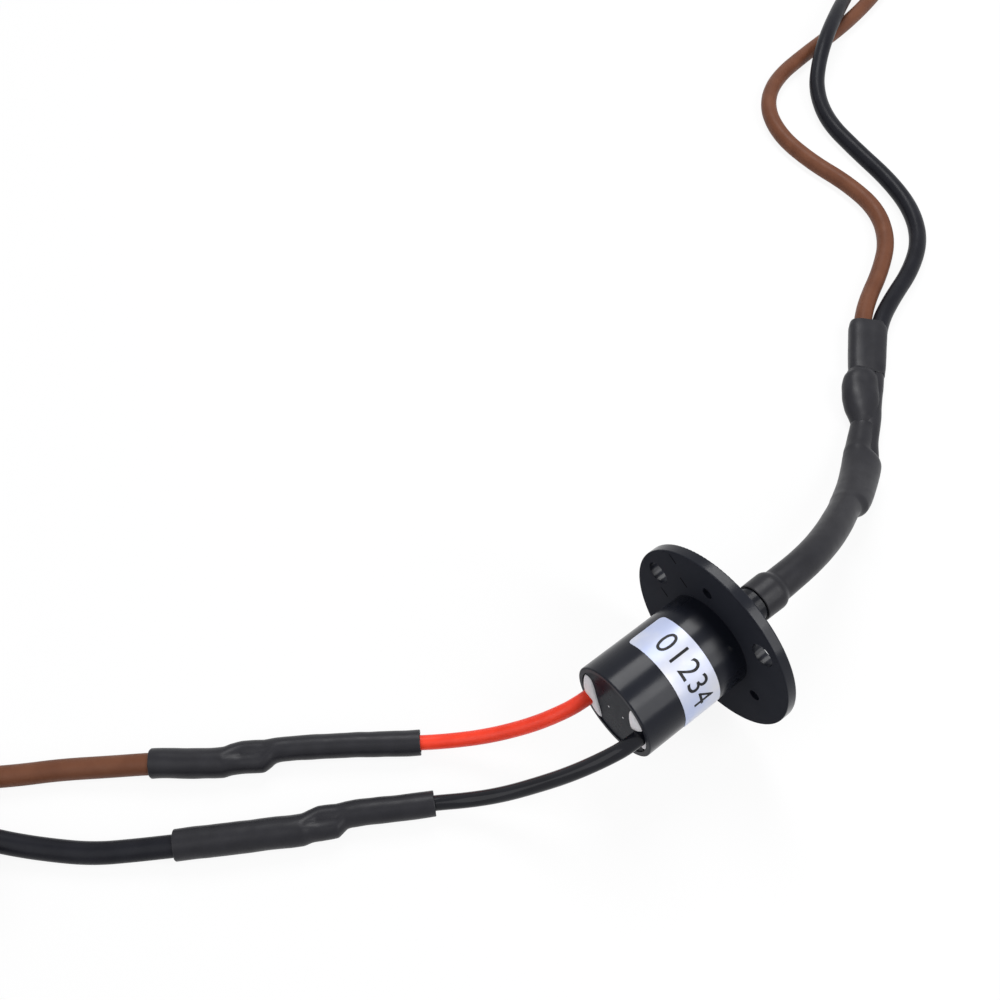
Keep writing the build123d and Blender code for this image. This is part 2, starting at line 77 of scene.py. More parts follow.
# Camera, at the photograph's viewing angle: metres and degrees, lens and sensor in millimetres
camera = {
    "place": (-0.100577, -0.055734, 0.222551),
    "tilt": 32.319,
    "turn": -38.212,
    "lens": 41.4,
    "sensor": 36.0,
    "near": 0.005,
    "far": 20.0,
}


def makeCamera():
    data = bpy.data.cameras.new("photo_camera")
    data.lens = camera["lens"]
    data.sensor_width = camera["sensor"]
    data.clip_start = camera["near"]
    data.clip_end = camera["far"]
    rig = linkPiece("photo_camera", data)
    rig.location = camera["place"]
    rig.rotation_euler = (math.radians(camera["tilt"]), 0, math.radians(camera["turn"]))
    scene.camera = rig


makeCamera()
print("camera set")

# Finishes: every pattern is fixed to the piece that wears it
# A span is the stretch of a noise over which a finish goes from its first value to its second
pattern = {
    "toneDetail": 4.0, "toneSpan": (0.35, 0.65),
    "glossDetail": 2.0, "glossSpan": (0.3, 0.7),
    "grainDetail": 3.0, "grainStrength": 0.4,
}


def startMaterial(name, **sockets):
    material = bpy.data.materials.new(name)
    material.use_nodes = True
    shader = material.node_tree.nodes["Principled BSDF"]
    for socket, value in sockets.items():
        shader.inputs[socket.replace("_", " ")].default_value = value
    return material, material.node_tree, shader


def addNoise(tree, scale, detail, stretch=None):
    place = tree.nodes.new("ShaderNodeTexCoord").outputs["Object"]
    grain = tree.nodes.new("ShaderNodeTexNoise")
    grain.inputs["Scale"].default_value = scale
    grain.inputs["Detail"].default_value = detail
    if stretch:
        mapping = tree.nodes.new("ShaderNodeMapping")
        mapping.inputs["Scale"].default_value = stretch
        tree.links.new(place, mapping.inputs["Vector"])
        place = mapping.outputs["Vector"]
    tree.links.new(place, grain.inputs["Vector"])
    return grain.outputs["Fac"]


def tintBetween(tree, shader, factor, dark, light):
    ramp = tree.nodes.new("ShaderNodeValToRGB")
    for index, tone in enumerate((dark, light)):
        ramp.color_ramp.elements[index].position = pattern["toneSpan"][index]
        ramp.color_ramp.elements[index].color = (*tone, 1)
    tree.links.new(factor, ramp.inputs["Fac"])
    tree.links.new(ramp.outputs["Color"], shader.inputs["Base Color"])


def roughBetween(tree, shader, factor, low, high):
    spread = tree.nodes.new("ShaderNodeMapRange")
    limits = (*pattern["glossSpan"], low, high)
    for socket, value in zip(("From Min", "From Max", "To Min", "To Max"), limits):
        spread.inputs[socket].default_value = value
    tree.links.new(factor, spread.inputs["Value"])
    tree.links.new(spread.outputs["Result"], shader.inputs["Roughness"])


# Faces square to the ring's axis are matte from the mould
def matteEnds(tree, shader, ends):
    place = tree.nodes.new("ShaderNodeTexCoord")
    axes = tree.nodes.new("ShaderNodeSeparateXYZ")
    tree.links.new(place.outputs["Object"], axes.inputs["Vector"])
    level = shader.inputs["Roughness"].links[0].from_socket
    for face, rough in ends["faces"]:
        near = tree.nodes.new("ShaderNodeMath")
        near.operation = "COMPARE"
        near.inputs[1].default_value = mm * face
        near.inputs[2].default_value = mm * ends["reach"]
        tree.links.new(axes.outputs["X"], near.inputs[0])
        rougher = tree.nodes.new("ShaderNodeMix")
        rougher.inputs["B"].default_value = rough
        tree.links.new(near.outputs["Value"], rougher.inputs["Factor"])
        tree.links.new(level, rougher.inputs["A"])
        level = rougher.outputs["Result"]
    tree.links.new(level, shader.inputs["Roughness"])


def addBump(tree, shader, factor, depth):
    bump = tree.nodes.new("ShaderNodeBump")
    bump.inputs["Strength"].default_value = pattern["grainStrength"]
    bump.inputs["Distance"].default_value = depth
    tree.links.new(factor, bump.inputs["Height"])
    tree.links.new(bump.outputs["Normal"], shader.inputs["Normal"])


# One finish per call: two tones, a range of gloss and a fine grain
def makeFinish(name, look):
    material, tree, shader = startMaterial(name, **look.get("sockets", {}))
    tone = addNoise(tree, look["toneScale"], pattern["toneDetail"], look.get("stretch"))
    tintBetween(tree, shader, tone, look["dark"], look["light"])
    gloss = addNoise(tree, look["glossScale"], pattern["glossDetail"])
    roughBetween(tree, shader, gloss, *look["rough"])
    if "matteEnds" in look:
        matteEnds(tree, shader, look["matteEnds"])
    grain = addNoise(tree, look["grainScale"], pattern["grainDetail"], look.get("stretch"))
    addBump(tree, shader, grain, look["grainDepth"])
    return material


finishes = {
    "housing_plastic": {
        "dark": (0.0088, 0.0102, 0.0158), "light": (0.0118, 0.0132, 0.0192), "toneScale": 120,
        "rough": (0.18, 0.24), "glossScale": 260, "grainScale": 2600, "grainDepth": 0.000006,
        "matteEnds": {
            "reach": 0.12,  # faces: place along the axis and roughness
            "faces": [(housingLow.x / mm, 0.5), (0.0, 0.85), (housingHigh.x / mm, 0.85)],
        },
        "sockets": {"Specular_IOR_Level": 0.14},
    },
    "cover_plastic": {
        "dark": (0.0105, 0.012, 0.018), "light": (0.0135, 0.0155, 0.022), "toneScale": 400,
        "rough": (0.26, 0.34), "glossScale": 700, "grainScale": 3000, "grainDepth": 0.000008,
        "sockets": {"Specular_IOR_Level": 0.018},
    },
    "heat_shrink": {
        "dark": (0.0135, 0.0135, 0.017), "light": (0.018, 0.018, 0.0222), "toneScale": 260,
        "rough": (0.34, 0.42), "glossScale": 500, "grainScale": 5200, "grainDepth": 0.000006,
        "sockets": {"Specular_IOR_Level": 0.18},
    },
    "lead_red": {
        "dark": (0.8, 0.038, 0.014), "light": (0.92, 0.052, 0.02), "toneScale": 180,
        "rough": (0.3, 0.42), "glossScale": 420, "grainScale": 2400, "grainDepth": 0.000008,
        "sockets": {"Specular_IOR_Level": 0.3},
    },
    "lead_black": {
        "dark": (0.0055, 0.006, 0.0095), "light": (0.009, 0.0095, 0.014), "toneScale": 220,
        "rough": (0.1, 0.16), "glossScale": 300, "grainScale": 1300, "grainDepth": 0.000012,
        "sockets": {"Specular_IOR_Level": 0.2},
    },
    "tail_brown": {
        "dark": (0.12, 0.044, 0.023), "light": (0.15, 0.058, 0.031), "toneScale": 160,
        "rough": (0.4, 0.52), "glossScale": 420, "grainScale": 2600, "grainDepth": 0.00001,
        "sockets": {"Specular_IOR_Level": 0.14},
    },
    "tail_black": {
        "dark": (0.0075, 0.008, 0.0115), "light": (0.0115, 0.012, 0.0165), "toneScale": 200,
        "rough": (0.3, 0.4), "glossScale": 360, "grainScale": 2200, "grainDepth": 0.00001,
        "sockets": {"Specular_IOR_Level": 0.1},
    },
    "sealant": {
        "dark": (0.76, 0.75, 0.78), "light": (0.84, 0.83, 0.85), "toneScale": 500,
        "rough": (0.45, 0.6), "glossScale": 900, "grainScale": 1500, "grainDepth": 0.00003,
        "sockets": {"Specular_IOR_Level": 0.25},
    },
    "spindle_plastic": {
        "dark": (0.0085, 0.0095, 0.0135), "light": (0.0115, 0.0125, 0.017), "toneScale": 300,
        "rough": (0.2, 0.28), "glossScale": 500, "grainScale": 2600, "grainDepth": 0.000006,
        "sockets": {"Specular_IOR_Level": 0.12},
    },
    "bearing_steel": {
        "dark": (0.55, 0.56, 0.58), "light": (0.66, 0.67, 0.69), "toneScale": 300,
        "rough": (0.12, 0.22), "glossScale": 800, "grainScale": 1500, "grainDepth": 0.000004,
        "sockets": {"Metallic": 1.0},
    },
    "cage_brass": {
        "dark": (0.6, 0.42, 0.16), "light": (0.72, 0.53, 0.22), "toneScale": 400,
        "rough": (0.25, 0.38), "glossScale": 800, "grainScale": 2000, "grainDepth": 0.000006,
        "sockets": {"Metallic": 1.0},
    },
    "ring_brass": {
        "dark": (0.74, 0.53, 0.2), "light": (0.86, 0.65, 0.28), "toneScale": 300,
        "rough": (0.14, 0.26), "glossScale": 600, "grainScale": 1200, "grainDepth": 0.000006,
        "stretch": (10, 1, 1), "sockets": {"Metallic": 1.0},
    },
    "brush_bronze": {
        "dark": (0.58, 0.36, 0.17), "light": (0.72, 0.48, 0.25), "toneScale": 400,
        "rough": (0.22, 0.34), "glossScale": 800, "grainScale": 1800, "grainDepth": 0.000006,
        "sockets": {"Metallic": 1.0},
    },
    "insulator": {
        "dark": (0.55, 0.5, 0.38), "light": (0.66, 0.61, 0.48), "toneScale": 400,
        "rough": (0.45, 0.6), "glossScale": 800, "grainScale": 2600, "grainDepth": 0.00002,
    },
    "block_plastic": {
        "dark": (0.04, 0.04, 0.045), "light": (0.06, 0.06, 0.066), "toneScale": 400,
        "rough": (0.4, 0.55), "glossScale": 800, "grainScale": 2600, "grainDepth": 0.00002,
    },
    "steel": {
        "dark": (0.46, 0.47, 0.49), "light": (0.58, 0.59, 0.61), "toneScale": 400,
        "rough": (0.25, 0.4), "glossScale": 900, "grainScale": 1600, "grainDepth": 0.000008,
        "sockets": {"Metallic": 1.0},
    },
    "copper": {
        "dark": (0.62, 0.27, 0.14), "light": (0.78, 0.38, 0.22), "toneScale": 600,
        "rough": (0.25, 0.4), "glossScale": 900, "grainScale": 2400, "grainDepth": 0.00001,
        "sockets": {"Metallic": 1.0},
    },
    "tinned_copper": {
        "dark": (0.55, 0.54, 0.52), "light": (0.72, 0.7, 0.68), "toneScale": 700,
        "rough": (0.22, 0.38), "glossScale": 900, "grainScale": 2400, "grainDepth": 0.00001,
        "sockets": {"Metallic": 1.0},
    },
    "tie_nylon": {
        "dark": (0.012, 0.012, 0.013), "light": (0.018, 0.018, 0.02), "toneScale": 300,
        "rough": (0.38, 0.5), "glossScale": 700, "grainScale": 2600, "grainDepth": 0.00002,
    },
    "label_foil": {
        "dark": (0.48, 0.54, 0.75), "light": (0.7, 0.7, 0.73), "toneScale": 85,
        "rough": (0.3, 0.4), "glossScale": 300, "grainScale": 900, "grainDepth": 0.000008,
        "sockets": {"Metallic": 0.06, "Specular_IOR_Level": 0.2},
    },
    "label_ink": {
        "dark": (0.006, 0.006, 0.007), "light": (0.01, 0.01, 0.011), "toneScale": 600,
        "rough": (0.4, 0.55), "glossScale": 900, "grainScale": 3000, "grainDepth": 0.000005,
        "sockets": {"Specular_IOR_Level": 0.2},
    },
    # Painted shade: near-black and matte, for the flange strokes that stand in for the shade in shallow
    # grooves
    "painted_groove_shade": {
        "dark": (0.002, 0.002, 0.003), "light": (0.003, 0.003, 0.004), "toneScale": 600,
        "rough": (0.85, 0.95), "glossScale": 900, "grainScale": 3000, "grainDepth": 0.000005,
        "sockets": {"Specular_IOR_Level": 0.02},
    },
}
finish = {name: makeFinish(name, look) for name, look in finishes.items()}
print("finishes made:", len(finish))


# Solid parts wear the finish of their slot
def dressNodes():
    for part in frame["record"]["subparts"]:
        wearFinish(nodes[part["node"]].data, finish[part["material_slot"]])


dressNodes()
print("solid parts dressed")

# Routes: the same points as the solid cords, in millimetres
routes = {"order": 3, "along": 10, "round": 8}  # curve order, steps between points, steps round a cord


def makeCurve(name, points, radius=0.0):
    curve = bpy.data.curves.new(name, "CURVE")
    curve.dimensions = "3D"
    curve.resolution_u = routes["along"]
    spline = curve.splines.new("NURBS")
    spline.points.add(len(points) - 1)
    for knot, place in zip(spline.points, points):
        knot.co = (*(mm * value for value in place), 1.0)
    spline.order_u = routes["order"]
    spline.use_endpoint_u = True
    curve.bevel_depth = mm * radius
    curve.bevel_resolution = routes["round"]
    curve.use_fill_caps = True
    return linkPiece(name, curve)


def readRoute(points):
    guide = makeCurve("route_guide", points)
    mesh = bpy.data.meshes.new_from_object(guide)
    line = [vertex.co.copy() for vertex in mesh.vertices]
    bpy.data.meshes.remove(mesh)
    bpy.data.curves.remove(guide.data)
    return line


# A tail becomes a mesh tube along its route
def makeTube(name, points, radius, material):
    curve = makeCurve("tube_guide", points, radius)
    mesh = bpy.data.meshes.new_from_object(curve)
    bpy.data.curves.remove(curve.data)
    mesh.name = name
    wearFinish(mesh, material)
    mesh.shade_smooth()
    return linkPiece(name, mesh)


# Heat-shrink sleeves: rings lofted along a route, with an open lip at each end
# A lip is rounded over its inset by a share of the wall, and a sleeve lies just off the table
sleeves = {"inset": 0.15, "rounding": 0.25, "offTable": 0.02}


def stationAt(stations, along):
    along = min(max(along, stations[0][0]), stations[-1][0])
    index = max(i for i in range(len(stations) - 1) if stations[i][0] <= along)
    near, far = stations[index], stations[index + 1]
    before = stations[max(index - 1, 0)]
    after = stations[min(index + 2, len(stations) - 1)]
    run = far[0] - near[0]
    share = (along - near[0]) / run
    shape = []
    for column in range(1, len(near)):
        leave = easySlope(before, near, far, column) * run
        arrive = easySlope(near, far, after, column) * run
        rise = far[column] - near[column]
        bend = 3 * rise - 2 * leave - arrive
        settle = leave + arrive - 2 * rise
        shape.append(near[column] + share * (leave + share * (bend + share * settle)))
    return shape


def easySlope(before, here, after, column):
    first = here[column] - before[column]
    second = after[column] - here[column]
    if first * second <= 0:
        return 0.0
    return (first + second) / (after[0] - before[0])


def sectionRing(center, heading, shape, sleeve, cut, shrink):
    side = Vector((0, 0, 1)).cross(heading).normalized()
    up = heading.cross(side).normalized()
    width, height, shift, pinch = shape
    crinkle = sleeve["crinkle"]
    ring = []
    for step in range(sleeve["around"]):
        turn = 2 * math.pi * step / sleeve["around"]
        outward = math.cos(turn) * side + math.sin(turn) * up
        across = math.copysign(abs(math.cos(turn)) ** sleeve["square"], math.cos(turn))
        rise = math.copysign(abs(math.sin(turn)) ** sleeve["square"], math.sin(turn))
        rise *= 1 - pinch * (1 - abs(across)) ** 2
        sideways = mm * ((width - shrink) * across + shift)
        upwards = mm * (height - shrink) * rise
        place = center + sideways * side + upwards * up
        ripple = noise.noise(place / (mm * crinkle["size"]) + Vector((crinkle["seed"], 0, 0)))
        place += mm * crinkle["depth"] * ripple * outward
        place += mm * cut * noise.noise(2 * outward + Vector((0, 0, crinkle["seed"]))) * heading
        place.z = max(place.z, tableZ + sleeves["offTable"] * mm)
        ring.append(place)
    return ring


def loftSleeve(name, sleeve, material):
    line = readRoute(sleeve["route"])
    marks = [0.0]
    for before, after in zip(line, line[1:]):
        marks.append(marks[-1] + (after - before).length / mm)
    total = marks[-1]

    def placeAt(along):
        for index in range(len(line) - 1):
            if along <= marks[index + 1] or index == len(line) - 2:
                share = (along - marks[index]) / (marks[index + 1] - marks[index])
                ahead = line[min(index + 2, len(line) - 1)] - line[index + 1]
                here = line[index + 1] - line[index]
                back = line[index] - line[max(index - 1, 0)]
                first = (here + back).normalized()
                second = (here + ahead).normalized()
                return line[index].lerp(line[index + 1], share), first.lerp(second, share).normalized()

    around, wall = sleeve["around"], sleeve["wall"]
    count = int(total / sleeve["step"])
    rings = []

    def addRing(along, shrink=0.0, cut=0.0):
        center, heading = placeAt(min(max(along, 0.0), total))
        shape = stationAt(sleeve["stations"], along)
        rings.append(sectionRing(center, heading, shape, sleeve, cut, shrink))

    lip, inset = sleeve["lip"], sleeves["inset"]
    rounded = sleeves["rounding"] * wall
    addRing(sleeve["mouth"], wall)
    addRing(0.0, wall, lip)
    addRing(0.0, rounded, lip)
    addRing(inset, 0.0, lip)
    for index in range(1, count):
        addRing(total * index / count)
    addRing(total - inset, 0.0, lip)
    addRing(total, rounded, lip)
    addRing(total, wall, lip)
    addRing(total - sleeve["mouth"], wall)
    verts = [tuple(place) for ring in rings for place in ring]
    faces = bandFaces(len(rings) - 1, around)
    faces.append(tuple(reversed(range(around))))
    faces.append(tuple(range(len(verts) - around, len(verts))))
    return addMesh(name, verts, faces, material), line


# Bands of four-cornered faces between rings that lie one after another
def bandFaces(bands, around):
    faces = []
    for band in range(bands):
        for step in range(around):
            near = band * around + step
            beside = band * around + (step + 1) % around
            faces.append((near, beside, beside + around, near + around))
    return faces


def addMesh(name, verts, faces, material, smooth=True):
    mesh = bpy.data.meshes.new(name)
    mesh.from_pydata(verts, [], faces)
    build = bmesh.new()
    build.from_mesh(mesh)
    bmesh.ops.remove_doubles(build, verts=build.verts, dist=meshing["weld"])
    bmesh.ops.recalc_face_normals(build, faces=build.faces)
    build.to_mesh(mesh)
    build.free()
    mesh.materials.append(material)
    if smooth:
        mesh.shade_smooth()
        mesh.set_sharp_from_angle(angle=math.radians(meshing["crease"]))
    return linkPiece(name, mesh)


# Stator leads, from the sealant to just inside their splices
redExit = (6.857, -4.12)
blackExit = (-7.795, 1.8)
spliceZ = -18.5
redLead = {
    "route": [
        (-23.5, *redExit), (-29.5, *redExit), (-34.9, 8.5, -6.2), (-40.2, 11.6, -10.4),
        (-46.7, 16.2, -14.8), (-52.7, 20.9, -17.6), (-58.8, 25.4, spliceZ), (-61.6, 27.6, spliceZ),
    ],
    "radius": 1.65, "length": 0.0475, "node": "stator_lead_red", "slot": "lead_red",
}
blackLead = {
    "route": [
        (-23.5, *blackExit), (-29.5, *blackExit), (-35.0, -6.3, -0.3), (-41.0, -3.4, -5.0),
        (-46.6, 0.3, -10.2), (-52.6, 4.3, -14.7), (-58.2, 8.4, -17.5), (-63.7, 12.4, spliceZ),
        (-66.6, 14.2, spliceZ),
    ],
    "radius": 1.65, "length": 0.0545, "node": "stator_lead_black", "slot": "lead_black",
}

# Splices of the stator leads: two wires lapped side by side under one sleeve
# Each station is: place along, half width, half height, side shift, pinch over the lap
# A section with square 1 is round, lip is how ragged a cut end is, and mouth is how deep it is open
redSplice = {
    "route": [(-58.7, 25.6, -18.8), (-83.0, 41.8, -18.8), (-107.4, 57.9, -18.8)],
    "stations": [
        (0, 2.82, 2.82, 0, 0), (14.4, 2.72, 2.75, -0.6, 0), (28.5, 2.68, 2.75, -0.9, 0),
        (31.4, 2.75, 2.8, -0.75, 0), (33.0, 3.3, 2.95, -0.05, 0.12), (34.3, 3.6, 3.05, 0.33, 0.25),
        (38.3, 3.62, 3.15, 0.22, 0.3), (41.0, 3.45, 3.2, 0.55, 0.14), (43.0, 3.32, 3.3, 1.05, 0.02),
        (50.0, 3.26, 3.3, 0.7, 0), (58.6, 3.26, 3.3, 0, 0),
    ],
    "around": 48, "step": 0.3, "square": 1.0, "wall": 0.5, "lip": 0.12, "mouth": 3.0,
    "crinkle": {"depth": 0.07, "size": 3.4, "seed": 2.0},
}
blackSplice = {
    "route": [(-64.3, 12.8, -18.8), (-88.3, 26.0, -18.8), (-112.2, 39.2, -18.8)],
    "stations": [
        (0, 2.75, 2.8, 0, 0), (8.3, 2.78, 2.8, -0.24, 0), (16.6, 2.82, 2.8, -0.62, 0),
        (18.7, 2.84, 2.82, -0.55, 0.02), (19.9, 3.25, 2.9, -0.05, 0.15), (21.0, 3.6, 3.05, 0.34, 0.3),
        (24.2, 3.68, 3.15, 0.3, 0.36), (26.3, 3.42, 3.2, 0.55, 0.2), (28.4, 3.36, 3.3, 1.05, 0.03),
        (34.7, 3.35, 3.34, 0.77, 0), (43.5, 3.36, 3.36, 0.48, 0), (54.7, 3.32, 3.34, 0, 0),
    ],
    "around": 48, "step": 0.3, "square": 1.0, "wall": 0.5, "lip": 0.12, "mouth": 3.0,
    "crinkle": {"depth": 0.07, "size": 3.4, "seed": 11.0},
}


def makeLead(name, lead):
    piece = makeCurve(name, lead["route"], lead["radius"])
    piece.data.materials.append(finish[lead["slot"]])
    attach(piece, "stator")
    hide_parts(lead["node"])


def makeSplice(name, splice, node):
    piece, _ = loftSleeve(name, splice, finish["heat_shrink"])
    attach(piece, "stator")
    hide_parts(node)
    return piece


redSleeve = makeSplice("red_splice", redSplice, "splice_sleeve_red")
blackSleeve = makeSplice("black_splice", blackSplice, "splice_sleeve_black")
makeLead("red_lead", redLead)
makeLead("black_lead", blackLead)
print("stator leads and splices made")

# Stator tails, which end in a tied coil just past the view's left edge
# Angles are in degrees: where a coil is entered, how far a tail is turned, and where it climbs a layer
coil = {"center": (-173.5, 69.3), "entry": 58.0, "low": -18.55, "lift": 4.85, "perTurn": 24}
brownTail = {
    "route": [
        (-104.6, 55.6, spliceZ), (-107.7, 57.9, spliceZ), (-114.8, 63.0, -19.3), (-123.6, 69.3, -19.8),
        (-132.0, 74.2, -19.8), (-140.8, 80.0, -19.4), (-149.9, 85.4, -18.8),
    ],
    "turnRadius": 26.2, "turned": 411, "rise": (60, 300), "radius": 2.4, "length": 0.25,
    "replaces": ("stator_tail_brown", "stator_tail_coil"), "slot": "tail_brown",
}
blackTail = {
    "route": [
        (-109.4, 37.2, spliceZ), (-112.6, 39.2, spliceZ), (-119.2, 43.6, -19.4), (-126.6, 48.6, -19.8),
        (-133.6, 55.2, -19.8), (-139.8, 61.7, -19.4), (-145.3, 68.4, -18.8), (-151.8, 77.6, -18.6),
    ],
    "turnRadius": 21.3, "turned": 483, "rise": (130, 340), "radius": 2.4, "length": 0.25,
    "replaces": ("stator_tail_black",), "slot": "tail_black",
}


def coilPlace(tail, turned):
    start, end = tail["rise"]
    share = min(max((turned - start) / (end - start), 0.0), 1.0)
    height = coil["low"] + coil["lift"] * share * share * (3 - 2 * share)
    angle = math.radians(coil["entry"] + turned)
    radius = tail["turnRadius"]
    middleX, middleY = coil["center"]
    return (middleX + radius * math.cos(angle), middleY + radius * math.sin(angle), height)


def makeStatorTail(name, tail):
    count = round(tail["turned"] * coil["perTurn"] / 360)
    turns = [coilPlace(tail, tail["turned"] * index / count) for index in range(count + 1)]
    piece = makeCurve(name, tail["route"] + turns, tail["radius"])
    piece.data.materials.append(finish[tail["slot"]])
    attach(piece, "stator")
    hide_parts(*tail["replaces"])
    tip, before = Vector(turns[-1]), Vector(turns[-2])
    core = makeCore(name + "_core", tip, (tip - before).normalized())
    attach(core, "stator")


# Stripped, tinned end of a wire: a ring of twisted strands round a middle one
strands = {"Strands": 6, "Strand Radius": 0.5, "Ring Radius": 0.93, "Length": 7.0, "Twist": 0.45}
strandMesh = {"along": 40, "round": 12, "crease": 50}  # steps along and round a strand, degrees


def strandTree():
    tree = bpy.data.node_groups.new("stranded_core", "GeometryNodeTree")
    sockets = {}
    for name, value in strands.items():
        kind = "NodeSocketInt" if isinstance(value, int) else "NodeSocketFloat"
        sockets[name] = tree.interface.new_socket(name, in_out="INPUT", socket_type=kind)
    tree.interface.new_socket("Geometry", in_out="OUTPUT", socket_type="NodeSocketGeometry")
    inlet = tree.nodes.new("NodeGroupInput").outputs
    outlet = tree.nodes.new("NodeGroupOutput")

    def addNode(kind, **links):
        node = tree.nodes.new(kind)
        for socket, source in links.items():
            tree.links.new(source, node.inputs[socket.replace("_", " ")])
        return node

    helix = addNode(
        "GeometryNodeCurveSpiral", Rotations=inlet["Twist"], Start_Radius=inlet["Ring Radius"],
        End_Radius=inlet["Ring Radius"], Height=inlet["Length"],
    )
    helix.inputs["Resolution"].default_value = strandMesh["along"]
    rise = addNode("ShaderNodeCombineXYZ", Z=inlet["Length"])
    middle = addNode("GeometryNodeCurvePrimitiveLine", End=rise.outputs["Vector"])
    section = addNode("GeometryNodeCurvePrimitiveCircle", Radius=inlet["Strand Radius"])
    section.inputs["Resolution"].default_value = strandMesh["round"]

    def sweepStrand(curve):
        strand = addNode("GeometryNodeCurveToMesh", Curve=curve, Profile_Curve=section.outputs["Curve"])
        strand.inputs["Fill Caps"].default_value = True
        return strand.outputs["Mesh"]

    spots = addNode("GeometryNodePoints", Count=inlet["Strands"])
    index = addNode("GeometryNodeInputIndex")
    share = addNode("ShaderNodeMath")
    share.operation = "DIVIDE"
    tree.links.new(index.outputs["Index"], share.inputs[0])
    tree.links.new(inlet["Strands"], share.inputs[1])
    angle = addNode("ShaderNodeMath")
    angle.operation = "MULTIPLY"
    angle.inputs[1].default_value = 2 * math.pi
    tree.links.new(share.outputs["Value"], angle.inputs[0])
    turn = addNode("ShaderNodeCombineXYZ", Z=angle.outputs["Value"])
    ring = addNode(
        "GeometryNodeInstanceOnPoints", Points=spots.outputs["Points"],
        Instance=sweepStrand(helix.outputs["Curve"]), Rotation=turn.outputs["Vector"],
    )
    joined = addNode("GeometryNodeJoinGeometry", Geometry=ring.outputs["Instances"])
    tree.links.new(sweepStrand(middle.outputs["Curve"]), joined.inputs["Geometry"])
    real = addNode("GeometryNodeRealizeInstances", Geometry=joined.outputs["Geometry"])
    painted = addNode("GeometryNodeSetMaterial", Geometry=real.outputs["Geometry"])
    painted.inputs["Material"].default_value = finish["tinned_copper"]
    tree.links.new(painted.outputs["Geometry"], outlet.inputs["Geometry"])
    return tree, {name: socket.identifier for name, socket in sockets.items()}


coreTree, coreInputs = strandTree()


def makeCore(name, tip, heading):
    holder = linkPiece(name + "_holder", bpy.data.meshes.new(name + "_holder"))
    modifier = holder.modifiers.new("strands", "NODES")
    modifier.node_group = coreTree
    for socket, value in strands.items():
        modifier[coreInputs[socket]] = value
    bpy.context.view_layer.update()
    evaluated = holder.evaluated_get(bpy.context.evaluated_depsgraph_get())
    mesh = bpy.data.meshes.new_from_object(evaluated)
    holder.modifiers.remove(modifier)
    bpy.data.objects.remove(holder)
    mesh.name = name
    turn = heading.to_track_quat("Z", "Y").to_matrix().to_4x4()
    mesh.transform(Matrix.Scale(mm, 4) @ Matrix.Translation(tip) @ turn)
    mesh.shade_smooth()
    mesh.set_sharp_from_angle(angle=math.radians(strandMesh["crease"]))
    return linkPiece(name, mesh)


makeStatorTail("brown_stator_tail", brownTail)
makeStatorTail("black_stator_tail", blackTail)
print("stator tails coiled")

# Rotor sleeve: heat-shrink over the stub and the pair of leads, which swell it at their lap
rotorSleeve = {
    "route": [
        (13.4, 0, 0), (16.4, 0, 0), (20.2, 0, 0), (31.0, 0.6, -1.2), (40.3, 2.6, -4.6),
        (49.6, 5.7, -8.8), (58.9, 9.6, -12.9), (66.4, 13.6, -16.2), (73.4, 18.2, -18.4),
        (79.0, 22.6, -18.8), (81.4, 24.3, -18.8),
    ],
    "stations": [
        (0, 4.5, 4.5, 0, 0), (4.9, 4.55, 4.55, 0, 0), (5.6, 4.4, 4.4, 0, 0), (6.9, 3.8, 3.8, 0, 0),
        (36, 3.76, 3.76, 0, 0), (44.0, 3.8, 3.76, 0, 0), (46.6, 4.5, 3.78, -0.7, 0),
        (56, 4.75, 3.75, -0.95, 0.06), (63.5, 4.9, 3.65, -1.15, 0.1), (65.8, 4.6, 3.6, -0.9, 0.08),
        (68.2, 3.55, 3.4, 0, 0), (73, 3.3, 3.1, -0.3, 0), (76.6, 3.2, 2.8, -0.5, 0),
        (79, 3.45, 2.95, -0.6, 0),
    ],
    "around": 56, "step": 0.35, "square": 1.0, "wall": 0.5, "lip": 0.1, "mouth": 3.0,
    "crinkle": {"depth": 0.03, "size": 6.0, "seed": 5.0},
    "length": 0.077, "diameter": 0.0078,
}
brownSplice = {
    "route": [
        (79.6, 22.2, -19.3), (84.0, 27.0, -19.1), (88.4, 31.8, -18.6), (92.4, 35.4, -18.6),
        (97.6, 39.8, -19.0),
    ],
    "stations": [
        (0, 2.7, 2.3, -0.5, 0), (2.8, 2.9, 2.4, -0.6, 0), (5, 3.65, 2.75, -0.8, 0),
        (8.8, 4.6, 3.2, -0.7, 0), (13.2, 4.8, 3.4, -0.6, 0.04), (16.4, 4.75, 3.4, -0.65, 0.06),
        (18.2, 4.5, 3.35, -0.75, 0.04), (19.2, 4.0, 3.15, -0.85, 0), (20, 3.8, 2.8, -0.85, 0),
        (20.5, 3.4, 2.3, -0.8, 0), (21.2, 2.6, 2.1, -0.4, 0), (24.5, 2.3, 2.2, 0, 0),
    ],
    "around": 44, "step": 0.35, "square": 0.92, "wall": 0.5, "lip": 0.1, "mouth": 2.0,
    "crinkle": {"depth": 0.1, "size": 3.0, "seed": 17.0},
}
